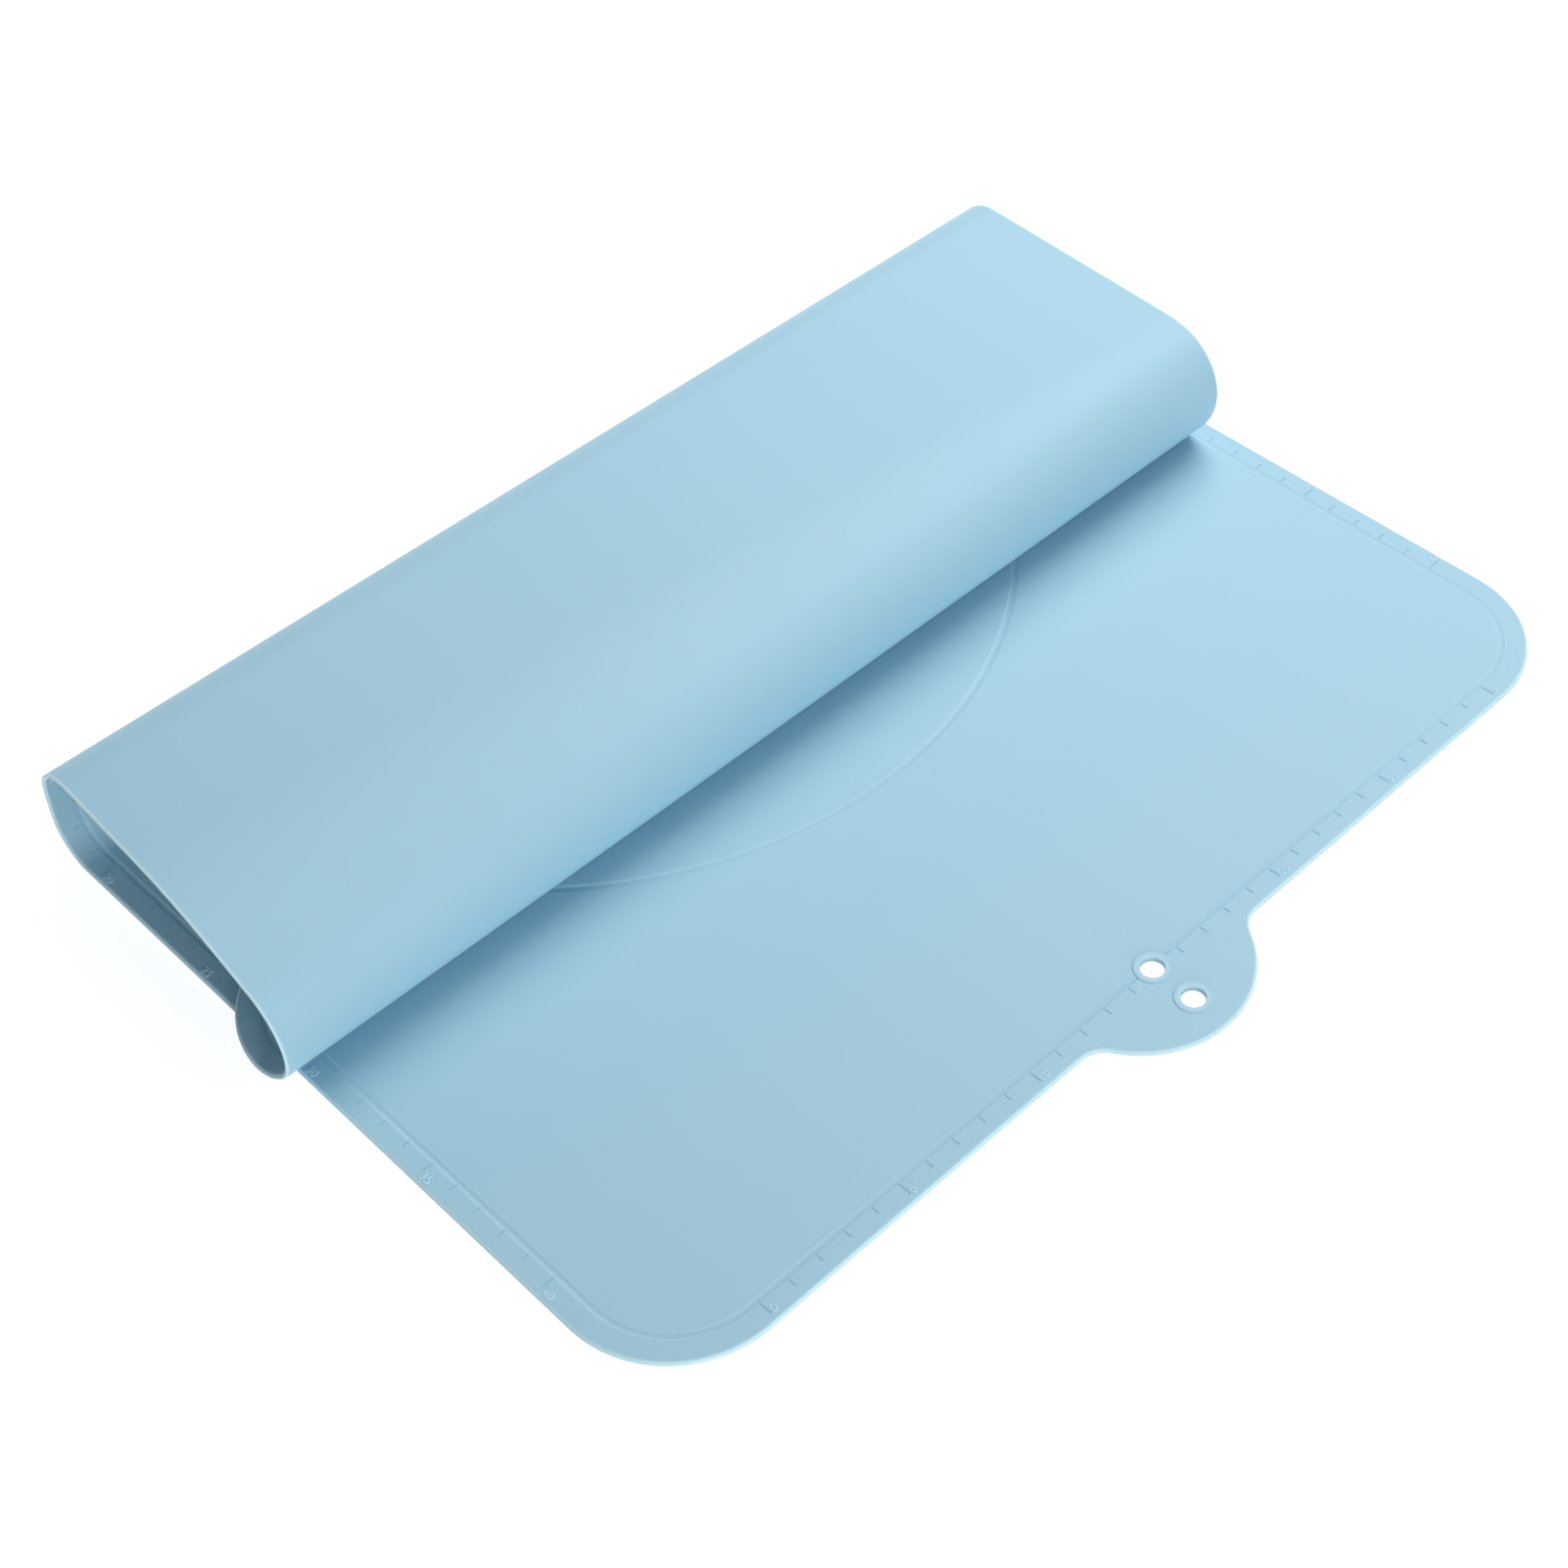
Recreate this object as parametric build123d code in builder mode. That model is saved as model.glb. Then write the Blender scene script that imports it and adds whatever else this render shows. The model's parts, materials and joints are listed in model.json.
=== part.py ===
"""Silicone baking mat with a ruler frame and a hanging tab, shown folded over.

The mat is one moulding. It is modelled as flat panels of the sheet, joined by creases that act as
living hinges, so that it can be unrolled from its stored fold to lying flat.
"""

import os
from math import ceil, floor

from build123d import *

# Sheet, lying flat: X runs along its length towards the hanging tab, Y across, Z up.
# The origin is the middle of the flat sheet, on its underside.
mat_length = 500.0
mat_width = 377.0
mat_thickness = 1.5
corner_radius = 36.0

# Hanging tab on the middle of one short side
tab_reach = 20.6
tab_radius = 34.0
tab_root_radius = 9.0
hang_hole_radius = 3.5
outer_hole_reach = 7.9
eyelet_width = 2.3
eyelet_rise = 0.3

# Marks moulded into the printed face
line_depth = 0.3
frame_inset = 6.9
frame_line_width = 1.9
circle_radius = 140.0
circle_line_width = 2.3
tick_pitch = 10.0
tick_width = 0.6
short_tick = 2.6
long_tick = 4.2
ticks_per_long = 5
long_ruler = 400.0
short_ruler = 300.0

# Creases
crease_gap = 0.3
tuck_clearance = 0.55

# Small changes of length and of turn, and the number of rounds, by which the tucked end is levelled
length_nudge = 1.5
turn_nudge = 0.6
level_rounds = 8

# The fold from the base to the free end. Each row is a bend: its turn in degrees, its length along
# the near edge and along the far edge as shares of the mat's length, and its number of creases.
base_near_share = 0.510
base_far_share = 0.484
corner_bend_shares = (96.0, 0.042, 0.064, 3)
wall_bend_shares = (7.0, 0.034, 0.019, 1)
crown_bend_shares = (77.0, 0.060, 0.044, 3)
flap_near_share = 0.037
flap_far_share = 0.163
shoulder_bend_shares = (14.0, 0.144, 0.016, 1)
front_bend_shares = (126.0, 0.078, 0.0945, 5)
under_bend_shares = (40.0, 0.038, 0.014, 1)

overrun = 5.0

half_length = mat_length / 2
half_width = mat_width / 2
inner_hole_x = half_length - frame_inset
outer_hole_x = half_length + outer_hole_reach


class Crease:
    """A fold line of the flat sheet, from the near edge to the far edge, and its turn in degrees."""

    def __init__(self, near_x, far_x, turn):
        self.near_x = near_x
        self.far_x = far_x
        self.turn = turn

    def x_at(self, y):
        share = (y + half_width) / mat_width
        return self.near_x + (self.far_x - self.near_x) * share


def bend_creases(near_start, far_start, bend, near_extra=0.0, far_extra=0.0):
    """The evenly spaced creases of one bend, and where the bend ends on both edges."""
    turn, near_share, far_share, count = bend
    near_length = near_share * mat_length + near_extra
    far_length = far_share * mat_length + far_extra
    creases = []
    for index in range(count):
        share = (index + 0.5) / count
        creases.append(Crease(near_start - near_length * share, far_start - far_length * share, turn / count))
    return creases, near_start - near_length, far_start - far_length


def lay_creases(near_extra, far_extra, turn_extra):
    """All creases, with the wall of the back fold longer by the two extras."""
    near = half_length - base_near_share * mat_length
    far = half_length - base_far_share * mat_length
    back, near, far = bend_creases(near, far, corner_bend_shares)
    wall, near, far = bend_creases(near, far, wall_bend_shares, near_extra, far_extra)
    crown, near, far = bend_creases(near, far, crown_bend_shares)
    near -= flap_near_share * mat_length
    far -= flap_far_share * mat_length
    shoulder, near, far = bend_creases(near, far, shoulder_bend_shares)
    front, near, far = bend_creases(near, far, front_bend_shares)
    last = (under_bend_shares[0] + turn_extra,) + under_bend_shares[1:]
    under, near, far = bend_creases(near, far, last)
    return back + wall + crown, shoulder + front + under


def fold_plane(plane, crease):
    """The plane of the next panel: this one's turned upwards about the crease."""
    near = plane.from_local_coords(Vector(crease.near_x, -half_width, 0))
    far = plane.from_local_coords(Vector(crease.far_x, half_width, 0))
    hinge = Axis((0, 0, 0), far - near)
    origin = near + (plane.origin - near).rotate(hinge, crease.turn)
    return Plane(
        origin=origin,
        x_dir=plane.x_dir.rotate(hinge, crease.turn),
        z_dir=plane.z_dir.rotate(hinge, crease.turn),
    )


def fold_planes(creases):
    """The underside plane of each panel, where sheet coordinates stay those of the flat mat."""
    planes = [Plane.XY]
    for crease in creases:
        planes.append(fold_plane(planes[-1], crease))
    return planes


def tuck_heights(extras):
    """Heights of the tucked end's underside: on the last crease at both edges, and at the free end."""
    back, front = lay_creases(*extras)
    plane = fold_planes(back + front)[-1]
    last = front[-1]
    near = plane.from_local_coords(Vector(last.near_x, -half_width, 0)).Z
    far = plane.from_local_coords(Vector(last.far_x, half_width, 0)).Z
    end = plane.from_local_coords(Vector(-half_length, 0, 0)).Z
    return near, far, end


def level_tuck():
    """Extra wall lengths and turn that let the tucked end lie level, just clear of the base."""
    target = mat_thickness + tuck_clearance
    extras = [0.0, 0.0, 0.0]
    nudges = (length_nudge, length_nudge, turn_nudge)
    for _ in range(level_rounds):
        base = tuck_heights(extras)
        rows = []
        for index, nudge in enumerate(nudges):
            moved = list(extras)
            moved[index] += nudge
            rows.append([(new - old) / nudge for new, old in zip(tuck_heights(moved), base)])
        columns = [Vector(*row) for row in rows]
        error = Vector(*[target - height for height in base])
        volume = columns[0].dot(columns[1].cross(columns[2]))
        extras[0] += error.dot(columns[1].cross(columns[2])) / volume
        extras[1] += error.dot(columns[2].cross(columns[0])) / volume
        extras[2] += error.dot(columns[0].cross(columns[1])) / volume
    return extras


back_creases, front_creases = lay_creases(*level_tuck())
creases = back_creases + front_creases
panel_planes = fold_planes(creases)


def mitre_plane(plane, crease, side):
    """The plane that trims a panel at a crease: side is -1 for the panel before it, 1 for the one after.

    Its normal points into the panel, and it stands half the crease gap inside it.
    """
    near = plane.from_local_coords(Vector(crease.near_x, -half_width, 0))
    far = plane.from_local_coords(Vector(crease.far_x, half_width, 0))
    hinge = Axis((0, 0, 0), far - near)
    inward = plane.z_dir.cross(far - near).normalized() * side
    inward = inward.rotate(hinge, -side * crease.turn / 2)
    return Plane(origin=near + inward * crease_gap / 2, x_dir=far - near, z_dir=inward)


def region_corners(east, west):
    """Corners of the strip of sheet between two creases, with some to spare for the mitres."""
    low, high = -half_width - overrun, half_width + overrun
    east_low = half_length + overrun if east is None else east.x_at(low) + mat_thickness
    east_high = half_length + overrun if east is None else east.x_at(high) + mat_thickness
    west_low = -half_length - overrun if west is None else west.x_at(low) - mat_thickness
    west_high = -half_length - overrun if west is None else west.x_at(high) - mat_thickness
    return [(east_low, low), (east_high, high), (west_high, high), (west_low, low)]


def ruler_numbers(length, low, high):
    """Counts of the ticks from the ruler's middle whose places lie between low and high."""
    reach = round(length / 2 / tick_pitch)
    first = max(-reach, ceil(low / tick_pitch))
    last = min(reach, floor(high / tick_pitch))
    return range(first, last + 1)


def tick_length(number, length):
    """Long for every fifth tick, counted from the ruler's zero."""
    count = number + round(length / 2 / tick_pitch)
    return long_tick if count % ticks_per_long == 0 else short_tick


def draw_side_ticks(low, high):
    """The ticks of both long sides whose places lie between low and high."""
    for number in ruler_numbers(long_ruler, low, high):
        reach = tick_length(number, long_ruler)
        middle = half_width - frame_inset + reach / 2
        with Locations((number * tick_pitch, middle), (number * tick_pitch, -middle)):
            Rectangle(tick_width, reach)


def draw_tab_ticks():
    """The ticks beside the tab, without those that the inner hanging hole takes the place of."""
    for number in ruler_numbers(short_ruler, -short_ruler, short_ruler):
        if abs(number * tick_pitch) < hang_hole_radius + eyelet_width:
            continue
        reach = tick_length(number, short_ruler)
        with Locations((half_length - frame_inset + reach / 2, number * tick_pitch)):
            Rectangle(reach, tick_width)


def line_marks(face_plane, low, high, with_tab_side):
    """The frame line, the circle and the ticks, drawn on a panel's printed face."""
    inner_inset = frame_inset + frame_line_width
    with BuildSketch(face_plane) as marks:
        RectangleRounded(
            mat_length - 2 * frame_inset,
            mat_width - 2 * frame_inset,
            corner_radius - frame_inset,
        )
        RectangleRounded(
            mat_length - 2 * inner_inset,
            mat_width - 2 * inner_inset,
            corner_radius - inner_inset,
            mode=Mode.SUBTRACT,
        )
        Circle(circle_radius + circle_line_width / 2)
        Circle(circle_radius - circle_line_width / 2, mode=Mode.SUBTRACT)
        draw_side_ticks(low, high)
        if with_tab_side:
            draw_tab_ticks()
    return marks.sketch


def disc(plane, x, radius):
    """A disc round a hanging hole's axis."""
    with BuildSketch(plane) as round_face:
        with Locations((x, 0)):
            Circle(radius)
    return round_face.sketch


def add_eyelet(face_plane, x):
    """Add a raised ring round a hanging hole, and the hole through it, to the piece being built."""
    ring = disc(face_plane, x, hang_hole_radius + eyelet_width)
    extrude(ring, amount=eyelet_rise)
    extrude(ring, amount=-mat_thickness)
    bore = disc(face_plane.offset(eyelet_rise), x, hang_hole_radius)
    extrude(bore, amount=-mat_thickness - eyelet_rise, mode=Mode.SUBTRACT)


def write_panel(name, index):
    """Build and write one panel, between the crease before it and the crease after it."""
    plane = panel_planes[index]
    face_plane = plane.offset(mat_thickness)
    east = creases[index - 1] if index > 0 else None
    west = creases[index] if index < len(creases) else None
    corners = region_corners(east, west)
    low = min(x for x, y in corners)
    high = max(x for x, y in corners)
    with BuildPart() as panel:
        with BuildSketch(plane):
            RectangleRounded(mat_length, mat_width, corner_radius)
            with BuildLine():
                Polyline(*corners, close=True)
            make_face(mode=Mode.INTERSECT)
        extrude(amount=mat_thickness)
        marks = line_marks(face_plane, low, high, east is None)
        extrude(marks, amount=-line_depth, mode=Mode.SUBTRACT)
        if east is None:
            add_eyelet(face_plane, inner_hole_x)
        else:
            split(bisect_by=mitre_plane(plane, east, 1), keep=Keep.TOP)
        if west is not None:
            split(bisect_by=mitre_plane(plane, west, -1), keep=Keep.TOP)
    panel.part.label = name
    export_step(panel.part, f"parts/{name}.step")


def write_hang_tab():
    """Build and write the tab that stands out of the short side, face to face with the base panel."""
    with BuildPart() as hang_tab:
        with BuildSketch(Plane.XY):
            with Locations((half_length + tab_reach - tab_radius, 0)):
                Circle(tab_radius)
            with Locations((half_length, 0)):
                Rectangle(mat_length, mat_width, align=(Align.MAX, Align.CENTER))
            roots = [
                vertex
                for vertex in vertices()
                if abs(vertex.Y) < tab_radius and vertex.X > 0
            ]
            fillet(roots, tab_root_radius)
            with Locations((half_length, 0)):
                Rectangle(
                    mat_length,
                    mat_width,
                    align=(Align.MIN, Align.CENTER),
                    mode=Mode.INTERSECT,
                )
        extrude(amount=mat_thickness)
        add_eyelet(Plane.XY.offset(mat_thickness), outer_hole_x)
    hang_tab.part.label = "hang_tab"
    export_step(hang_tab.part, "parts/hang_tab.step")


def panel_names():
    """Names of the panels in order, from the base to the tucked end."""
    back = [f"back_fold_strip_{count + 1:02d}" for count in range(len(back_creases) - 1)]
    front = [f"front_roll_strip_{count + 1:02d}" for count in range(len(front_creases) - 1)]
    return ["base_panel"] + back + ["flap_panel"] + front + ["tucked_end"]


def main():
    """Build and write every piece."""
    os.makedirs("parts", exist_ok=True)
    for index, name in enumerate(panel_names()):
        write_panel(name, index)
    write_hang_tab()


if __name__ == "__main__":
    main()
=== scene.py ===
"""Looks of the silicone baking mat, folded over like a loose scroll.

The mat is drawn once as it lies flat, in millimetres, with its rim, grooves, ticks, numerals and
eyelets as real relief. That drawing is then folded round the creases of the frame into a rest shape
that curves smoothly through every crease, and cut into one piece for the base and one for each crease.
"""

import json
import math

import bpy
import numpy as np
from mathutils import Matrix, Vector
from mathutils.geometry import delaunay_2d_cdt

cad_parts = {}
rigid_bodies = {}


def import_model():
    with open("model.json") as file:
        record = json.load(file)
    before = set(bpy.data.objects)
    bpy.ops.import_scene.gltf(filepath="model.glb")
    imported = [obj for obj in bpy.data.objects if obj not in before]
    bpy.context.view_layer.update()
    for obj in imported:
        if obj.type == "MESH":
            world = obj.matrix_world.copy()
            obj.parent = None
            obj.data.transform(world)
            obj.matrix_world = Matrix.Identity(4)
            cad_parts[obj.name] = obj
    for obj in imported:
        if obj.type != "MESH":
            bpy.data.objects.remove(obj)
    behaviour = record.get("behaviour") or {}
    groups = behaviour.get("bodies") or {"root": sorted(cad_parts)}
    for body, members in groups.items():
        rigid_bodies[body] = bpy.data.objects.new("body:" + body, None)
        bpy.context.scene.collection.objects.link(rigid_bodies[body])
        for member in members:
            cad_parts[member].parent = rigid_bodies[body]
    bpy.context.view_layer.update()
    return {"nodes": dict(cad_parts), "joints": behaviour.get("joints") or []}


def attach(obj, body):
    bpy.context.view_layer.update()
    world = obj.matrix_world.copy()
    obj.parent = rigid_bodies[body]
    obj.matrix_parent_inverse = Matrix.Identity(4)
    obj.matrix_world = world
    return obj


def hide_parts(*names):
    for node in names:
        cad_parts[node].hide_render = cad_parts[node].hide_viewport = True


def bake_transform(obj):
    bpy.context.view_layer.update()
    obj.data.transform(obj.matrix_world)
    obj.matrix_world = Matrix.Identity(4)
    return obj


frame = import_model()

MM = 0.001

# The flat mat: X runs towards the hanging tab, Y across, Z up out of the printed face.
HALF_LENGTH = 250.0
HALF_WIDTH = 188.5
THICKNESS = 1.5
CORNER_RADIUS = 36.0
CORNER_STEPS = 24

# Rounding of the rim at the printed face and at the underside, and how far in from the rim a highlight is
# painted
RIM_RADIUS = 1.0
RIM_ANGLES = (0, 30, 60, 90)
FOOT_RADIUS = 0.4
FOOT_ANGLES = (0, 45, 90)
# Width of the highlight painted along the rim and round the hole lips
HIGHLIGHT_WIDTH = 1.0

# Hanging tab
TAB_REACH = 20.6
TAB_RADIUS = 34.0
TAB_ROOT_RADIUS = 9.0
TAB_STEPS = 48
ROOT_STEPS = 10

# Hanging holes, one in the tab and one on the frame line, and the raised ring round each
OUTER_HOLE_REACH = 7.9
HOLE_RADIUS = 3.5
HOLE_FOOT_RADIUS = 0.2
HOLE_STEPS = 48
EYELET_RADIUS = 5.8
EYELET_RISE = 0.3
EYELET_SLOPE = 0.35
EYELET_LIP = 0.3
# Strength of the highlight painted on each eyelet's lip
EYELET_HIGHLIGHT = 0.4

# Frame line and circle, sunk into the printed face, and the highlight painted along the crests of their
# edges
FRAME_INSET = 6.9
FRAME_WIDTH = 1.9
CIRCLE_RADIUS = 140.0
CIRCLE_WIDTH = 2.3
CIRCLE_STEPS = 240
GROOVE_DEPTH = 0.22
GROOVE_SLOPE = 0.6
CREST_WIDTH = 0.3
# Strength of the highlight painted on the groove crests
CREST_HIGHLIGHT = 0.22

# Ruler: a tick for each centimetre, and a raised number for each fifth tick
TICK_WIDTH = 0.6
TICK_DEPTH = 0.22
TICK_SLOPE = 0.2
TICK_PITCH = 10.0
SHORT_TICK = 2.6
LONG_TICK = 4.2
TICKS_PER_LABEL = 5
LONG_RULER_TICKS = 40
SHORT_RULER_TICKS = 30
NUMERAL_SIZE = 3.8
NUMERAL_RESOLUTION = 2
NUMERAL_RISE = 0.18
NUMERAL_SLOPE = 0.12
NUMERAL_GROWTH = 0.06
# Strength of the highlight painted on the tops of the raised numbers
NUMERAL_HIGHLIGHT = 0.65
NUMERAL_GAP = 0.9
NUMERAL_INSET_LONG = 2.6
NUMERAL_INSET_SHORT = 3.5

# How finely the mesh follows the bends, and how exactly its lines meet
GRID = 12.0
GRID_CLEARANCE = GRID / 3
EYELET_CLEARANCE = 2.6
DEGREES_PER_RULING = 4.0
FEWEST_RULINGS = 2
OVERRUN = 2.0
SLOPE_STEP = 0.6
SMOOTH_ANGLE = math.radians(35)
MERGE = 1e-4
ON_LINE = 2e-3
TINY = 1e-12
DECIMALS = 3
BLOCK = 4000

HOLES = ((HALF_LENGTH - FRAME_INSET, 0.0), (HALF_LENGTH + OUTER_HOLE_REACH, 0.0))


def turned(point, axis, angle):
    """The 4x4 matrix that turns by an angle about an axis through a point."""
    spin = np.array(Matrix.Rotation(angle, 4, Vector(axis)), float)
    spin[:3, 3] = np.array(point) - spin[:3, :3] @ np.array(point)
    return spin


class Chain:
    """The creases from the base to the free end, where they lie on the flat mat and at rest."""

    def __init__(self):
        joint_of = {joint["parent"]: joint for joint in frame["joints"]}
        self.bodies = ["base"]
        self.turns = []
        self.lines = []
        self.to_rest = [np.eye(4)]
        to_flat = np.eye(4)
        while self.bodies[-1] in joint_of:
            joint = joint_of[self.bodies[-1]]
            point = np.array(joint["pos_m"]) / MM
            axis = np.array(joint["axis"])
            turn = math.radians(joint["range_deg"][1])
            flat_point = (to_flat @ np.append(point, 1))[:3]
            flat_axis = to_flat[:3, :3] @ axis
            lean = flat_axis[0] / flat_axis[1]
            self.lines.append((flat_point[0] - lean * flat_point[1], lean))
            self.turns.append(turn)
            to_flat = to_flat @ turned(point, axis, turn)
            self.to_rest.append(np.linalg.inv(to_flat))
            self.bodies.append(joint["child"])
        self.count = len(self.turns)

    def crease_x(self, index, y):
        """Where a crease crosses the flat mat at y."""
        start, lean = self.lines[index]
        return start + lean * y

    def seam_x(self, index, y):
        """Where the sheet is cut between crease index and the next, midway between the two."""
        return (self.crease_x(index, y) + self.crease_x(index + 1, y)) / 2

    def reach(self, index, y):
        """How far the bend at a crease spreads to each side of it."""
        reaches = []
        if index > 0:
            reaches.append(self.seam_x(index - 1, y) - self.crease_x(index, y))
        if index < self.count - 1:
            reaches.append(self.crease_x(index, y) - self.seam_x(index, y))
        return np.minimum.reduce(reaches)

    def piece_of(self, x, y):
        """Number of the piece that holds a point: -1 for the base, then one for each crease."""
        piece = np.where(x < self.crease_x(0, y) + self.reach(0, y), 0, -1)
        for index in range(self.count - 1):
            piece = np.where(x < self.seam_x(index, y), index + 1, piece)
        return piece

    def place(self, panel, x, y):
        """Rest points of the underside, if a panel's plane went on for ever."""
        flat = np.stack([x, y, np.zeros_like(x), np.ones_like(x)], axis=1)
        return (flat @ self.to_rest[panel].T)[:, :3]

    def bend(self, piece, x, y, share=None):
        """Underside points of a bend, their direction westward, and their share of the bend."""
        reach = self.reach(piece, y)
        middle = self.crease_x(piece, y)
        if share is None:
            share = (middle + reach - x) / (2 * reach)
        t = share[:, None]
        start = self.place(piece, middle + reach, y)
        corner = self.place(piece, middle, y)
        end = self.place(piece + 1, middle - reach, y)
        points = (1 - t) ** 2 * start + 2 * t * (1 - t) * corner + t ** 2 * end
        west = (1 - t) * (corner - start) + t * (end - corner)
        return points, west, share

    def fold(self, piece, x, y):
        """Rest points of the underside, and the sheet's axes there, for points of one piece."""
        if piece < 0:
            return self.flat_fold(0, x, y)
        points, west, share = self.bend(piece, x, y)
        beyond, _, _ = self.bend(piece, x, y + SLOPE_STEP, share)
        before, _, _ = self.bend(piece, x, y - SLOPE_STEP, share)
        frames = local_frames(-west, beyond - before)
        for panel, outside in ((piece, share <= 0), (piece + 1, share >= 1)):
            flat_points, flat_frames = self.flat_fold(panel, x, y)
            points = np.where(outside[:, None], flat_points, points)
            frames = np.where(outside[:, None, None], flat_frames, frames)
        return points, frames

    def flat_fold(self, panel, x, y):
        """What fold gives, for points on the flat part of a panel."""
        rest = self.to_rest[panel][:3, :3]
        return self.place(panel, x, y), np.broadcast_to(rest, (len(x), 3, 3))


def local_frames(along, across):
    """Columns of the sheet's own x, y and z directions, from two directions in its surface."""
    x_axis = along / np.linalg.norm(along, axis=1)[:, None]
    z_axis = np.cross(x_axis, across)
    z_axis = z_axis / np.linalg.norm(z_axis, axis=1)[:, None]
    return np.stack([x_axis, np.cross(z_axis, x_axis), z_axis], axis=2)


def arc(centre, radius, start, end, steps):
    """Points of an arc, its angles in degrees."""
    angles = np.radians(np.linspace(start, end, steps + 1))
    return np.array(centre) + radius * np.stack([np.cos(angles), np.sin(angles)], axis=1)


def corner_arc(side_x, side_y, inset):
    """One rounded corner of the mat, drawn anticlockwise."""
    centre = (side_x * (HALF_LENGTH - CORNER_RADIUS), side_y * (HALF_WIDTH - CORNER_RADIUS))
    start = {(1, -1): -90, (1, 1): 0, (-1, 1): 90, (-1, -1): 180}[(side_x, side_y)]
    return arc(centre, CORNER_RADIUS - inset, start, start + 90, CORNER_STEPS)


def frame_line(inset):
    """One edge of the frame line, from one side of the inner eyelet round the mat to the other side."""
    x = HALF_LENGTH - inset
    meets = math.sqrt(EYELET_RADIUS ** 2 - (x - HOLES[0][0]) ** 2)
    corners = [corner_arc(*side, inset) for side in ((1, 1), (-1, 1), (-1, -1), (1, -1))]
    return np.concatenate([[(x, meets)], *corners, [(x, -meets)]])


def outline_loop(inset):
    """The mat's outline with the tab, drawn anticlockwise at an inset from the edge."""
    tab_x = HALF_LENGTH + TAB_REACH - TAB_RADIUS
    root_x = HALF_LENGTH + TAB_ROOT_RADIUS
    root_y = math.sqrt((TAB_RADIUS + TAB_ROOT_RADIUS) ** 2 - (root_x - tab_x) ** 2)
    swing = math.degrees(math.atan2(root_y, root_x - tab_x))
    root_radius = TAB_ROOT_RADIUS + inset
    return np.concatenate([
        corner_arc(1, -1, inset),
        arc((root_x, -root_y), root_radius, 180, 180 - swing, ROOT_STEPS),
        arc((tab_x, 0), TAB_RADIUS - inset, -swing, swing, TAB_STEPS)[1:-1],
        arc((root_x, root_y), root_radius, swing - 180, -180, ROOT_STEPS),
        corner_arc(1, 1, inset),
        corner_arc(-1, 1, inset),
        corner_arc(-1, -1, inset),
    ])


def round_loop(centre, radius, steps):
    """A closed circle, drawn anticlockwise."""
    return arc(centre, radius, 0, 360, steps)[:-1]


def rectangle(low_x, high_x, low_y, high_y):
    """Corners of a rectangle along x and y, drawn anticlockwise."""
    return np.array([(low_x, low_y), (high_x, low_y), (high_x, high_y), (low_x, high_y)])


def tick_place(number, ticks):
    """How far along its side of the mat a tick stands, from the middle of that side."""
    return (number - ticks / 2) * TICK_PITCH


def tick_length(number):
    """Length of a tick, longer where it has a number."""
    return LONG_TICK if number % TICKS_PER_LABEL == 0 else SHORT_TICK


def tick_boxes():
    """Low and high x, and low and high y, of every tick of the ruler."""
    boxes = []
    half = TICK_WIDTH / 2
    for number in range(LONG_RULER_TICKS + 1):
        x = tick_place(number, LONG_RULER_TICKS)
        root = HALF_WIDTH - FRAME_INSET
        tip = root + tick_length(number)
        boxes.append((x - half, x + half, root - GROOVE_SLOPE, tip))
        boxes.append((x - half, x + half, -tip, -root + GROOVE_SLOPE))
    for number in range(SHORT_RULER_TICKS + 1):
        y = tick_place(number, SHORT_RULER_TICKS)
        root = HALF_LENGTH - FRAME_INSET
        if abs(y) > EYELET_RADIUS:
            boxes.append((root - GROOVE_SLOPE, root + tick_length(number), y - half, y + half))
    return boxes


def glyph_loops(text):
    """Closed outlines of a number, with its left end at x 0 and its middle at y 0."""
    curve = bpy.data.curves.new("numeral", "FONT")
    curve.body = text
    curve.size = NUMERAL_SIZE
    curve.resolution_u = NUMERAL_RESOLUTION
    curve.fill_mode = "NONE"
    holder = bpy.data.objects.new("numeral", curve)
    mesh = bpy.data.meshes.new_from_object(holder)
    points = np.array([vertex.co[:2] for vertex in mesh.vertices])
    onward = {}
    for edge in mesh.edges:
        a, b = edge.vertices
        onward.setdefault(a, []).append(b)
        onward.setdefault(b, []).append(a)
    bpy.data.objects.remove(holder)
    bpy.data.meshes.remove(mesh)
    bpy.data.curves.remove(curve)
    loops = []
    while onward:
        first = here = next(iter(onward))
        loop = []
        came_from = None
        while here is not None:
            loop.append(here)
            ahead = [other for other in onward.pop(here) if other != came_from and other in onward]
            came_from, here = here, (ahead[0] if ahead else None)
        loops.append(points[loop])
    return loops


def grown(loops, amount):
    """The outlines moved outwards from the strokes that they bound, on every side."""
    probe = NUMERAL_SLOPE / 4
    moved = []
    for loop in loops:
        way = np.roll(loop, -1, axis=0) - np.roll(loop, 1, axis=0)
        aside = np.stack([way[:, 1], -way[:, 0]], axis=1) / np.linalg.norm(way, axis=1)[:, None]
        inside = depth_inside(loop + aside * probe, loops) > 0
        outwards = -1 if inside.sum() > len(loop) / 2 else 1
        moved.append(loop + outwards * amount * aside)
    return moved


def label_places():
    """Each number of the ruler, where its left end stands, and the turn of its baseline."""
    places = []
    for number in range(0, LONG_RULER_TICKS + 1, TICKS_PER_LABEL):
        x = tick_place(number, LONG_RULER_TICKS) + NUMERAL_GAP
        y = -HALF_WIDTH + NUMERAL_INSET_LONG
        places.append((number, (x, y), 0.0))
        places.append((number, (-x, -y), math.pi))
    for number in range(0, SHORT_RULER_TICKS + 1, TICKS_PER_LABEL):
        y = tick_place(number, SHORT_RULER_TICKS) + NUMERAL_GAP
        if abs(y) > EYELET_RADIUS:
            places.append((number, (HALF_LENGTH - NUMERAL_INSET_SHORT, y), math.pi / 2))
    return places


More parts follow.
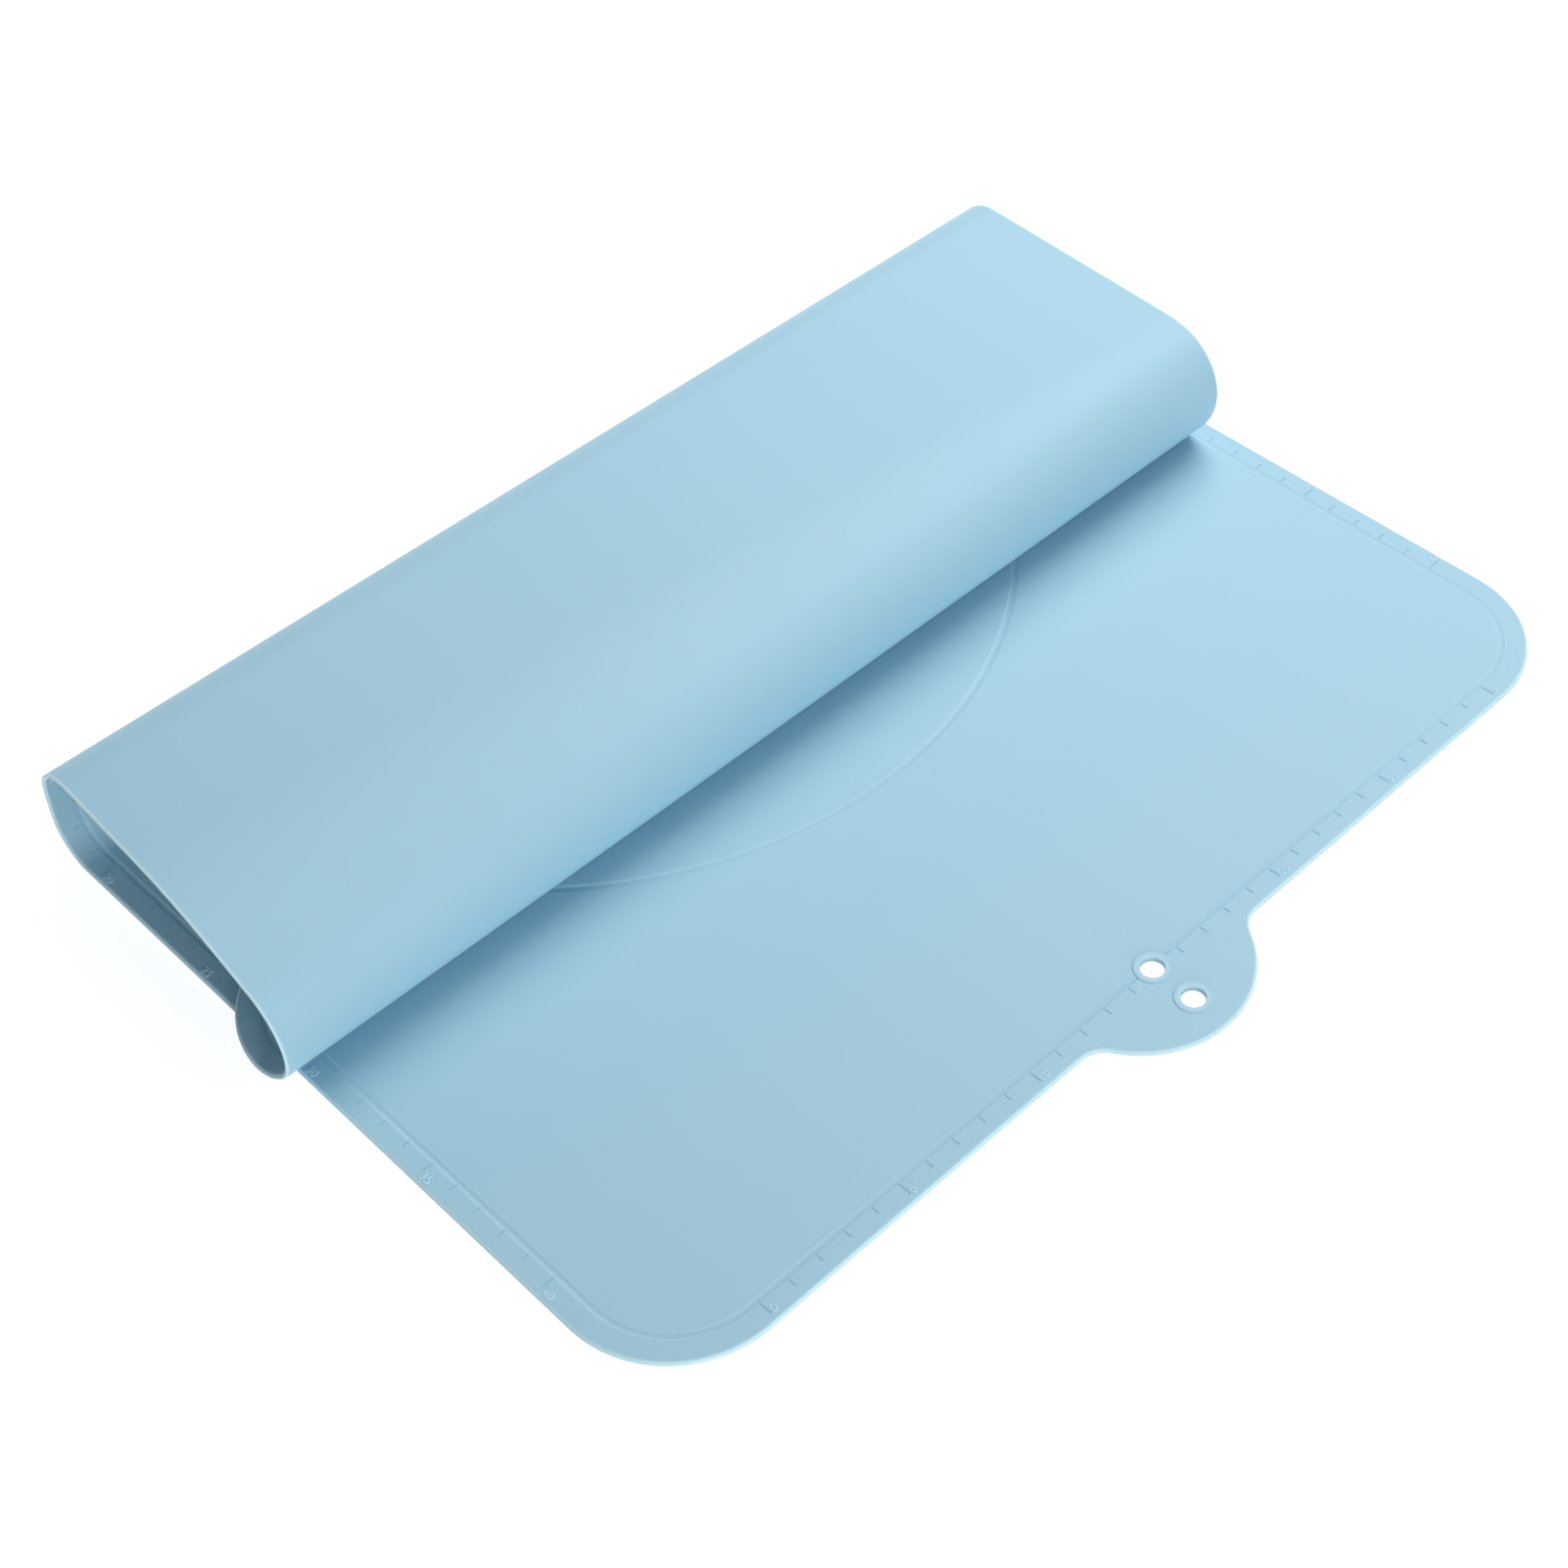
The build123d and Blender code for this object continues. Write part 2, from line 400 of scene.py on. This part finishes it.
def label_outlines():
    """For each number on the mat: its outline at the foot, at half height and at the top."""
    labels = []
    shapes = {}
    for number, place, turn in label_places():
        if number not in shapes:
            loops = glyph_loops(str(number))
            points = np.concatenate(loops)
            shift = np.array([points[:, 0].min(), (points[:, 1].min() + points[:, 1].max()) / 2])
            loops = [loop - shift for loop in loops]
            shapes[number] = [
                grown(loops, NUMERAL_GROWTH + side * NUMERAL_SLOPE / 2) for side in (1, 0, -1)
            ]
        spin = np.array([[math.cos(turn), -math.sin(turn)], [math.sin(turn), math.cos(turn)]])
        labels.append([[loop @ spin.T + place for loop in loops] for loops in shapes[number]])
    return labels


def closed_segments(loops):
    """Start and end points of every line of closed loops."""
    starts = np.concatenate(loops)
    ends = np.concatenate([np.roll(loop, -1, axis=0) for loop in loops])
    return starts, ends


def depth_inside(points, loops):
    """Distance from each point to the nearest outline, positive inside and negative outside."""
    if len(points) > BLOCK:
        blocks = [points[first:first + BLOCK] for first in range(0, len(points), BLOCK)]
        return np.concatenate([depth_inside(block, loops) for block in blocks])
    starts, ends = closed_segments(loops)
    way = ends - starts
    away = points[:, None, :] - starts[None]
    share = np.clip((away * way).sum(2) / np.maximum((way * way).sum(1), TINY), 0, 1)
    distance = np.sqrt(((away - share[..., None] * way) ** 2).sum(2)).min(1)
    spans = (starts[:, 1] > points[:, 1:2]) != (ends[:, 1] > points[:, 1:2])
    rise = np.where(way[:, 1] == 0, 1.0, way[:, 1])
    cross_x = starts[:, 0] + (points[:, 1:2] - starts[:, 1]) * way[:, 0] / rise
    odd = ((points[:, 0:1] < cross_x) & spans).sum(1) % 2 == 1
    return np.where(odd, distance, -distance)


def rectangle_inset(points):
    """Distance inwards from the edge of the rounded rectangle, without the tab."""
    q = np.abs(points) - (np.array([HALF_LENGTH, HALF_WIDTH]) - CORNER_RADIUS)
    outer = np.linalg.norm(np.maximum(q, 0), axis=1)
    return CORNER_RADIUS - outer - np.minimum(q.max(1), 0)


def outline_inset(points):
    """Distance inwards from the mat's outline, worked out only near the edge."""
    inset = rectangle_inset(points)
    near = (inset < 2 * RIM_RADIUS) | (points[:, 0] > HALF_LENGTH - CORNER_RADIUS)
    inset[near] = depth_inside(points[near], [outline_loop(0.0)])
    return inset


def ramp(depth, slope):
    """0 up to an edge, then rising evenly to 1 over the slope inside it."""
    return np.clip(depth / slope, 0, 1)


def rounding(inset, radius):
    """How far a rounded edge drops below the face, at a distance in from the edge."""
    gap = radius - np.clip(inset, 0, radius)
    return radius - np.sqrt(radius ** 2 - gap ** 2)


def rounding_insets(radius, angles):
    """How far in from the edge the lines of a rounding run, one for each angle."""
    return [radius * (1 - math.cos(math.radians(angle))) for angle in angles]


def hole_distances(points):
    """For each hole, the distances of the points from its middle."""
    return [np.linalg.norm(points - np.array(centre), axis=1) for centre in HOLES]


def groove_depth(points):
    """How far the frame line, the circle and the ticks sink below the printed face."""
    inset = rectangle_inset(points)
    line = ramp(np.minimum(inset - FRAME_INSET, FRAME_INSET + FRAME_WIDTH - inset), GROOVE_SLOPE)
    radius = np.linalg.norm(points, axis=1)
    circle = ramp(CIRCLE_WIDTH / 2 - np.abs(radius - CIRCLE_RADIUS), GROOVE_SLOPE)
    sunk = GROOVE_DEPTH * np.maximum(line, circle)
    for low_x, high_x, low_y, high_y in tick_boxes():
        depth = np.minimum.reduce([
            points[:, 0] - low_x,
            high_x - points[:, 0],
            points[:, 1] - low_y,
            high_y - points[:, 1],
        ])
        sunk = np.maximum(sunk, TICK_DEPTH * ramp(depth, TICK_SLOPE))
    return sunk


def printed_height(points, labels):
    """Height of the printed face over the underside."""
    height = THICKNESS - groove_depth(points)
    for foot, middle, _ in labels:
        corners = np.concatenate(foot)
        low = corners.min(0) - NUMERAL_SLOPE
        high = corners.max(0) + NUMERAL_SLOPE
        near = ((points > low) & (points < high)).all(1)
        if near.any():
            depth = depth_inside(points[near], middle) + NUMERAL_SLOPE / 2
            height[near] += NUMERAL_RISE * ramp(depth, NUMERAL_SLOPE)
    for distance in hole_distances(points):
        on_ring = distance < EYELET_RADIUS
        ring = THICKNESS + EYELET_RISE * ramp(EYELET_RADIUS - distance, EYELET_SLOPE)
        ring -= rounding(distance - HOLE_RADIUS, EYELET_LIP)
        height = np.where(on_ring, ring, height)
    return height - rounding(outline_inset(points), RIM_RADIUS)


def underside_height(points):
    """Height of the underside, which rises only at its rounded edges."""
    height = rounding(outline_inset(points), FOOT_RADIUS)
    for distance in hole_distances(points):
        height = np.maximum(height, rounding(distance - HOLE_RADIUS, HOLE_FOOT_RADIUS))
    return height


def paleness(points):
    """Highlight painted where light catches the silicone: 0 on the faces, up to 1 on the rim, less on
    groove crests, numerals and eyelet lips.
    """
    flat, height = points[:, :2], points[:, 2]
    # Painted highlight along the rim
    rim = 1 - ramp(outline_inset(flat) - HIGHLIGHT_WIDTH / 2, HIGHLIGHT_WIDTH / 2)
    inset = rectangle_inset(flat) - FRAME_INSET
    across = np.linalg.norm(flat, axis=1) - CIRCLE_RADIUS + CIRCLE_WIDTH / 2
    crest = np.minimum.reduce([
        np.abs(inset),
        np.abs(inset - FRAME_WIDTH),
        np.abs(across),
        np.abs(across - CIRCLE_WIDTH),
    ])
    # Painted highlight on the groove crests and the raised numbers, on the printed face only
    mark_highlight = CREST_HIGHLIGHT * (1 - ramp(crest, CREST_WIDTH))
    mark_highlight = np.maximum(mark_highlight, NUMERAL_HIGHLIGHT * ramp(height - THICKNESS, NUMERAL_RISE))
    mark_highlight = np.where(height > THICKNESS / 2, mark_highlight, 0.0)
    # Painted highlight on the eyelet lips
    for distance in hole_distances(flat):
        lip = EYELET_HIGHLIGHT * (1 - ramp(distance - HOLE_RADIUS - EYELET_LIP, HIGHLIGHT_WIDTH - EYELET_LIP))
        mark_highlight = np.where(distance < EYELET_RADIUS + MERGE, lip, mark_highlight)
    return np.maximum(rim, mark_highlight)


class Drawing:
    """Points and lines of the flat mat that the mesh has to follow."""

    def __init__(self):
        self.points = []
        self.edges = []

    def line(self, points, closed=False):
        """A line through points, which the triangles keep to."""
        first = len(self.points)
        self.dots(points)
        last = len(self.points) - 1
        self.edges.extend((index, index + 1) for index in range(first, last))
        if closed:
            self.edges.append((last, first))

    def dots(self, points):
        """Points on a fine raster, so that lines which share a point share it exactly."""
        self.points.extend(map(tuple, np.round(points, DECIMALS)))

    def triangles(self):
        """Points and anticlockwise triangles that cover the mat and leave its holes open."""
        points = [Vector(point) for point in self.points]
        # Output type 0 gives every triangle inside the drawing's hull.
        found = delaunay_2d_cdt(points, self.edges, [], 0, MERGE, False)
        corners = np.array([tuple(point) for point in found[0]])
        faces = np.array([face for face in found[2] if len(face) == 3])
        a, b, c = corners[faces[:, 0]], corners[faces[:, 1]], corners[faces[:, 2]]
        area = (b[:, 0] - a[:, 0]) * (c[:, 1] - a[:, 1]) - (b[:, 1] - a[:, 1]) * (c[:, 0] - a[:, 0])
        faces[area < 0] = faces[area < 0][:, ::-1]
        centres = (a + b + c) / 3
        keep = outline_inset(centres) > 0
        for distance in hole_distances(centres):
            keep &= distance > HOLE_RADIUS
        return corners, faces[keep]


def draw_shared_lines(drawing, chain, rim_radius, rim_angles):
    """What both faces share: the outline with its rounding, the bends, the seams and a loose grid."""
    for inset in rounding_insets(rim_radius, rim_angles):
        drawing.line(outline_loop(inset), closed=True)
    rows = np.arange(-HALF_WIDTH + GRID / 2, HALF_WIDTH, GRID)
    y = np.concatenate([[-HALF_WIDTH - OVERRUN], rows, [HALF_WIDTH + OVERRUN]])
    for index in range(chain.count):
        turn = math.degrees(chain.turns[index])
        steps = max(FEWEST_RULINGS, math.ceil(turn / DEGREES_PER_RULING))
        reach = chain.reach(index, y)
        middle = chain.crease_x(index, y)
        for share in np.linspace(-1, 1, steps + 1):
            drawing.line(np.stack([middle - share * reach, y], axis=1))
        if index < chain.count - 1:
            drawing.line(np.stack([chain.seam_x(index, y), y], axis=1))
    columns = np.arange(-HALF_LENGTH + GRID / 2, HALF_LENGTH + TAB_REACH, GRID)
    grid = np.stack(np.meshgrid(columns, rows), axis=2).reshape(-1, 2)
    clear = outline_inset(grid) > GRID
    clear &= np.abs(np.linalg.norm(grid, axis=1) - CIRCLE_RADIUS) > GRID_CLEARANCE
    for index in range(chain.count):
        from_crease = np.abs(grid[:, 0] - chain.crease_x(index, grid[:, 1]))
        clear &= from_crease - chain.reach(index, grid[:, 1]) > GRID_CLEARANCE
    for distance in hole_distances(grid):
        clear &= distance > EYELET_RADIUS + EYELET_CLEARANCE
    drawing.dots(grid[clear])


def groove_edges(width):
    """Where the lines of a groove run across its width, with the crests where a highlight is painted."""
    outer = [-CREST_WIDTH, 0.0, CREST_WIDTH, GROOVE_SLOPE]
    return outer + [width - edge for edge in outer]


def draw_printed_face(chain, labels):
    """Points and triangles of the printed face, which follow its relief."""
    drawing = Drawing()
    draw_shared_lines(drawing, chain, RIM_RADIUS, RIM_ANGLES)
    for edge in groove_edges(FRAME_WIDTH):
        drawing.line(frame_line(FRAME_INSET + edge))
    for edge in groove_edges(CIRCLE_WIDTH):
        radius = CIRCLE_RADIUS - CIRCLE_WIDTH / 2 + edge
        drawing.line(round_loop((0, 0), radius, CIRCLE_STEPS), closed=True)
    for low_x, high_x, low_y, high_y in tick_boxes():
        for edge in (0.0, TICK_SLOPE):
            box = rectangle(low_x + edge, high_x - edge, low_y + edge, high_y - edge)
            drawing.line(box, closed=True)
    lip = [HOLE_RADIUS + inset for inset in rounding_insets(EYELET_LIP, FOOT_ANGLES)]
    for centre in HOLES:
        for radius in (*lip, EYELET_RADIUS - EYELET_SLOPE, EYELET_RADIUS):
            drawing.line(round_loop(centre, radius, HOLE_STEPS), closed=True)
    for label in labels:
        for loops in label:
            for loop in loops:
                drawing.line(loop, closed=True)
    return drawing.triangles()


def draw_underside(chain):
    """Points and triangles of the plain underside."""
    drawing = Drawing()
    draw_shared_lines(drawing, chain, FOOT_RADIUS, FOOT_ANGLES)
    # Lines where the highlight painted along the rim and round the holes fades out
    drawing.line(outline_loop(HIGHLIGHT_WIDTH), closed=True)
    for centre in HOLES:
        for inset in (*rounding_insets(HOLE_FOOT_RADIUS, FOOT_ANGLES), HIGHLIGHT_WIDTH):
            drawing.line(round_loop(centre, HOLE_RADIUS + inset, HOLE_STEPS), closed=True)
    return drawing.triangles()


def open_edges(faces):
    """Directed edges that only one triangle has."""
    edges = np.concatenate([faces[:, [0, 1]], faces[:, [1, 2]], faces[:, [2, 0]]])
    seen = set(map(tuple, edges))
    return [(a, b) for a, b in seen if (b, a) not in seen]


def flat_mat(chain):
    """The mat lying flat: its points, its closed skin of triangles and the number of points on top."""
    labels = label_outlines()
    top, top_faces = draw_printed_face(chain, labels)
    foot, foot_faces = draw_underside(chain)
    points = np.concatenate([
        np.column_stack([top, printed_height(top, labels)]),
        np.column_stack([foot, underside_height(foot)]),
    ])
    rim = open_edges(top_faces)
    foot_rim = sorted({index for edge in open_edges(foot_faces) for index in edge})
    below = {}
    for index in sorted({index for edge in rim for index in edge}):
        gaps = np.linalg.norm(foot[foot_rim] - top[index], axis=1)
        if gaps.min() > ON_LINE:
            raise ValueError(f"no underside point below the rim at {top[index]}")
        below[index] = foot_rim[int(gaps.argmin())] + len(top)
    walls = [(below[a], below[b], b) for a, b in rim] + [(below[a], b, a) for a, b in rim]
    faces = np.concatenate([top_faces, foot_faces[:, ::-1] + len(top), np.array(walls)])
    return points, faces, len(top)


def corner_normals(points, faces):
    """Normals of every triangle corner: smooth over gentle turns and rims, sharp at steeper edges."""
    a, b, c = points[faces[:, 0]], points[faces[:, 1]], points[faces[:, 2]]
    weighted = np.cross(b - a, c - a)
    length = np.linalg.norm(weighted, axis=1)
    own = weighted / np.maximum(length, TINY)[:, None]
    corner_vertex = faces.ravel()
    corner_face = np.repeat(np.arange(len(faces)), 3)
    order = np.argsort(corner_vertex, kind="stable")
    counts = np.bincount(corner_vertex, minlength=len(points))
    first = np.concatenate([[0], np.cumsum(counts)[:-1]])
    normals = np.zeros((len(corner_vertex), 3))
    for turn in range(counts.max()):
        has = counts[corner_vertex] > turn
        other = corner_face[order[first[corner_vertex[has]] + turn]]
        mine = corner_face[has]
        alike = (own[other] * own[mine]).sum(1) > math.cos(SMOOTH_ANGLE)
        normals[has] += weighted[other] * alike[:, None]
    normals /= np.maximum(np.linalg.norm(normals, axis=1), TINY)[:, None]
    return normals.reshape(len(faces), 3, 3)


def rings(edges):
    """Groups of directed edges that follow one another, as lists of points."""
    onward = dict(edges)
    found = []
    while onward:
        here = next(iter(onward))
        ring = []
        while here in onward:
            ring.append(here)
            here = onward.pop(here)
        found.append(ring)
    return found


def seam_cap(points, ring, top_count, faces_east):
    """Triangles that close a piece where it is cut, in a strip between its two faces."""
    order = sorted(ring, key=lambda index: points[index, 1])
    high = [index for index in order if index < top_count]
    low = [index for index in order if index >= top_count]
    triangles = []
    i = j = 0
    while i < len(high) - 1 or j < len(low) - 1:
        high_left = i < len(high) - 1
        low_left = j < len(low) - 1
        if high_left and (not low_left or points[high[i + 1], 1] <= points[low[j + 1], 1]):
            triangles.append((high[i], low[j], high[i + 1]))
            i += 1
        else:
            triangles.append((high[i], low[j], low[j + 1]))
            j += 1
    if not faces_east:
        triangles = [triangle[::-1] for triangle in triangles]
    return np.array(triangles)


def write_mesh(name, rest, faces, normals, flat, painted_highlight):
    """A Blender mesh in metres, with its own corner normals and the flat mat's coordinates as UV."""
    used, index = np.unique(faces, return_inverse=True)
    index = index.reshape(faces.shape)
    mesh = bpy.data.meshes.new(name)
    mesh.from_pydata((rest[used] * MM).tolist(), [], index.tolist())
    mesh.polygons.foreach_set("use_smooth", [True] * len(mesh.polygons))
    layer = mesh.uv_layers.new(name="flat")
    layer.data.foreach_set("uv", (flat[faces.ravel(), :2] * MM).ravel())
    # Share of painted highlight on rims and raised marks, stored for the material
    mesh.attributes.new("painted_highlight", "FLOAT", "POINT").data.foreach_set("value", painted_highlight[used])
    mesh.normals_split_custom_set(normals.reshape(-1, 3).tolist())
    piece = bpy.data.objects.new(name, mesh)
    bpy.context.collection.objects.link(piece)
    return piece


def fold_piece(chain, number, points, faces, normals, top_count):
    """Rest points of one piece, with its faces and corner normals, closed where it is cut."""
    used = np.unique(faces)
    x, y, height = points[used].T
    under, frames = chain.fold(number, x, y)
    rest = np.zeros_like(points)
    rest[used] = under + height[:, None] * frames[:, :, 2]
    axes = np.zeros((len(points), 3, 3))
    axes[used] = frames
    all_faces = [faces]
    all_normals = [np.einsum("fcij,fcj->fci", axes[faces], normals)]
    for ring in rings(open_edges(faces)):
        faces_east = points[ring, 0].mean() > x.mean()
        cap = seam_cap(points, ring, top_count, faces_east)
        a, b, c = rest[cap[:, 0]], rest[cap[:, 1]], rest[cap[:, 2]]
        straight = np.cross(b - a, c - a).sum(0)
        straight /= np.linalg.norm(straight)
        all_faces.append(cap)
        all_normals.append(np.broadcast_to(straight, (len(cap), 3, 3)))
    return rest, np.concatenate(all_faces), np.concatenate(all_normals)


def make_sheet(chain, material):
    """Fold the flat mat, cut at its seams into one piece for the base and one for each crease."""
    points, faces, top_count = flat_mat(chain)
    normals = corner_normals(points, faces)
    centres = points[faces].mean(1)
    owner = chain.piece_of(centres[:, 0], centres[:, 1])
    # Highlight painted on the rim, groove crests, numerals and eyelet lips
    painted_highlight = paleness(points)
    pieces = []
    for number in range(-1, chain.count):
        mine = owner == number
        rest, piece_faces, piece_normals = fold_piece(
            chain, number, points, faces[mine], normals[mine], top_count
        )
        name = "base_sheet" if number < 0 else f"fold_sheet_{number + 1:02d}"
        piece = write_mesh(name, rest, piece_faces, piece_normals, points, painted_highlight)
        piece.data.materials.append(material)
        pieces.append(piece)
    return pieces


# The silicone: two tints for its clouding, a paler one painted on as highlight along rims, groove crests,
# numerals and eyelets, gloss and grain
CLOUD_TINTS = ((0.368, 0.622, 0.765, 1), (0.398, 0.658, 0.798, 1))
CLOUD_SCALE = 9.0
CLOUD_DETAIL = 3.0
HIGHLIGHT_TINT = (0.64, 0.89, 1.0, 1)
ROUGHNESS = (0.5, 0.6)
GRAIN_SCALE = 1600.0
GRAIN_DETAIL = 2.0
GRAIN_STRENGTH = 0.15
GRAIN_DEPTH = 0.1 * MM
SILICONE_IOR = 1.41


def noise(nodes, links, place, scale, detail):
    """A noise laid on the flat mat's coordinates."""
    texture = nodes.new("ShaderNodeTexNoise")
    texture.inputs["Scale"].default_value = scale
    texture.inputs["Detail"].default_value = detail
    links.new(place.outputs["UV"], texture.inputs["Vector"])
    return texture.outputs["Fac"]


def colour_mix(nodes, links, share):
    """A mix of two colours by a share that another node gives."""
    mix = nodes.new("ShaderNodeMix")
    mix.data_type = "RGBA"
    links.new(share, mix.inputs["Factor"])
    return mix


def silicone():
    """Matte light-blue silicone: even colour with faint clouding, a paler painted highlight on rims and
    raised marks, a fine moulded grain and soft gloss.
    """
    material = bpy.data.materials.new("silicone")
    material.use_nodes = True
    nodes, links = material.node_tree.nodes, material.node_tree.links
    shader = nodes["Principled BSDF"]
    place = nodes.new("ShaderNodeUVMap")
    place.uv_map = "flat"
    # Share of painted highlight at each point
    edge = nodes.new("ShaderNodeAttribute")
    edge.attribute_name = "painted_highlight"
    clouds = noise(nodes, links, place, CLOUD_SCALE, CLOUD_DETAIL)
    grain = noise(nodes, links, place, GRAIN_SCALE, GRAIN_DETAIL)
    tint = colour_mix(nodes, links, clouds)
    tint.inputs["A"].default_value, tint.inputs["B"].default_value = CLOUD_TINTS
    # Mix the painted highlight tint over the clouded colour
    highlight_tint = colour_mix(nodes, links, edge.outputs["Fac"])
    highlight_tint.inputs["B"].default_value = HIGHLIGHT_TINT
    gloss = nodes.new("ShaderNodeMapRange")
    gloss.inputs["To Min"].default_value, gloss.inputs["To Max"].default_value = ROUGHNESS
    bump = nodes.new("ShaderNodeBump")
    bump.inputs["Strength"].default_value = GRAIN_STRENGTH
    bump.inputs["Distance"].default_value = GRAIN_DEPTH
    links.new(clouds, gloss.inputs["Value"])
    links.new(grain, bump.inputs["Height"])
    links.new(tint.outputs["Result"], highlight_tint.inputs["A"])
    links.new(highlight_tint.outputs["Result"], shader.inputs["Base Color"])
    links.new(gloss.outputs["Result"], shader.inputs["Roughness"])
    links.new(bump.outputs["Normal"], shader.inputs["Normal"])
    shader.inputs["IOR"].default_value = SILICONE_IOR
    return material


def dress_chain(chain, pieces):
    """Tie the base piece to the base body and hide the frame's parts; the fold pieces stay fixed where
    they lie at rest.
    """
    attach(pieces[0], "base")
    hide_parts(*[node for node in frame["nodes"]])
    for index, piece in enumerate(pieces[1:]):
        blend_span(chain, index)
        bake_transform(piece)


def blend_span(chain, index):
    """Start and end of a bend at rest, no longer than the bend is at its narrowest."""
    ends = np.array([-HALF_WIDTH, HALF_WIDTH])
    lean = chain.lines[index][1]
    reach = chain.reach(index, ends).min() / math.hypot(1, lean)
    near, far = chain.place(index, chain.crease_x(index, ends), ends)
    hinge = Vector(far - near).normalized()
    half_turn = chain.turns[index] / 2
    west = Vector(chain.to_rest[index][:3, 2]).cross(hinge)
    west.rotate(Matrix.Rotation(half_turn, 3, hinge).to_quaternion())
    span = reach * math.cos(half_turn) - (THICKNESS + NUMERAL_RISE) * math.sin(half_turn)
    middle = (near + far) / 2
    return (middle - span * np.array(west)) * MM, (middle + span * np.array(west)) * MM


# The camera of the photograph, worked out from the mat's own ruler
CAMERA_PLACE = Vector((0.525500, -0.369597, 0.584309))
CAMERA_AIM = Vector((0.118030, -0.022140, 0.0))
CAMERA_ROLL = math.radians(-4.354)
CAMERA_LENS = 61.03
CAMERA_SENSOR = 36.0
CAMERA_CLIP = 0.01


def make_camera():
    """The photograph's camera."""
    data = bpy.data.cameras.new("camera")
    data.lens = CAMERA_LENS
    data.sensor_width = CAMERA_SENSOR
    data.clip_start = CAMERA_CLIP
    camera = bpy.data.objects.new("camera", data)
    bpy.context.collection.objects.link(camera)
    look = (CAMERA_AIM - CAMERA_PLACE).to_track_quat("-Z", "Y").to_matrix()
    rolled = look @ Matrix.Rotation(CAMERA_ROLL, 3, "Z")
    camera.matrix_world = Matrix.Translation(CAMERA_PLACE) @ rolled.to_4x4()
    bpy.context.scene.camera = camera


def make_lamp(name, place, aim, size, power):
    """A round soft lamp that shines from its place towards its aim."""
    data = bpy.data.lights.new(name, "AREA")
    data.shape = "DISK"
    data.size = size
    data.energy = power
    lamp = bpy.data.objects.new(name, data)
    bpy.context.collection.objects.link(lamp)
    lamp.location = place
    lamp.rotation_euler = (Vector(aim) - Vector(place)).to_track_quat("-Z", "Y").to_euler()


# The studio: its light, and a floor of which the camera sees only the mat's shadow
WHITE = (1, 1, 1, 1)
WORLD_STRENGTH = 0.26
FLOOR_REACH = 6.0
FLOOR_DROP = 0.2 * MM
FLOOR_COLOUR = (0.9, 0.9, 0.9, 1)
FLOOR_GLOW = 0.75


def seen_directly(nodes, links):
    """1 where the camera, a reflection or a see-through surface looks straight at it."""
    path = nodes.new("ShaderNodeLightPath")
    seen = path.outputs["Is Camera Ray"]
    for ray in ("Is Glossy Ray", "Is Transmission Ray"):
        either = nodes.new("ShaderNodeMath")
        either.operation = "MAXIMUM"
        links.new(seen, either.inputs[0])
        links.new(path.outputs[ray], either.inputs[1])
        seen = either.outputs[0]
    return seen


def make_world():
    """Soft light from all sides, which the camera sees as plain white."""
    world = bpy.data.worlds.new("studio")
    world.use_nodes = True
    bpy.context.scene.world = world
    nodes, links = world.node_tree.nodes, world.node_tree.links
    light = nodes["Background"]
    light.inputs["Color"].default_value = WHITE
    light.inputs["Strength"].default_value = WORLD_STRENGTH
    white = nodes.new("ShaderNodeBackground")
    white.inputs["Color"].default_value = WHITE
    mix = nodes.new("ShaderNodeMixShader")
    links.new(seen_directly(nodes, links), mix.inputs["Fac"])
    links.new(light.outputs["Background"], mix.inputs[1])
    links.new(white.outputs["Background"], mix.inputs[2])
    links.new(mix.outputs["Shader"], nodes["World Output"].inputs["Surface"])


def make_floor():
    """A wide light grey floor just under the mat, white to the camera but for the mat's shadow."""
    mesh = bpy.data.meshes.new("floor")
    corners = rectangle(-FLOOR_REACH, FLOOR_REACH, -FLOOR_REACH, FLOOR_REACH).tolist()
    mesh.from_pydata([(x, y, -FLOOR_DROP) for x, y in corners], [], [(0, 1, 2, 3)])
    floor = bpy.data.objects.new("floor", mesh)
    bpy.context.collection.objects.link(floor)
    material = bpy.data.materials.new("floor")
    material.use_nodes = True
    nodes, links = material.node_tree.nodes, material.node_tree.links
    nodes.remove(nodes["Principled BSDF"])
    matte = nodes.new("ShaderNodeBsdfDiffuse")
    matte.inputs["Color"].default_value = FLOOR_COLOUR
    glow = nodes.new("ShaderNodeEmission")
    strength = nodes.new("ShaderNodeMath")
    strength.operation = "MULTIPLY"
    strength.inputs[1].default_value = FLOOR_GLOW
    both = nodes.new("ShaderNodeAddShader")
    links.new(seen_directly(nodes, links), strength.inputs[0])
    links.new(strength.outputs[0], glow.inputs["Strength"])
    links.new(matte.outputs["BSDF"], both.inputs[0])
    links.new(glow.outputs["Emission"], both.inputs[1])
    links.new(both.outputs["Shader"], nodes["Material Output"].inputs["Surface"])
    mesh.materials.append(material)


bpy.context.scene.view_settings.view_transform = "Standard"
sheet_chain = Chain()
sheet_pieces = make_sheet(sheet_chain, silicone())
dress_chain(sheet_chain, sheet_pieces)
make_floor()
make_world()
make_lamp("key", place=(-0.15, 0.85, 1.1), aim=(0.05, 0.0, 0.0), size=1.1, power=16.3)
make_lamp("fill", place=(1.3, -0.6, 0.18), aim=(0.1, 0.0, 0.0), size=0.35, power=7.4)
make_camera()
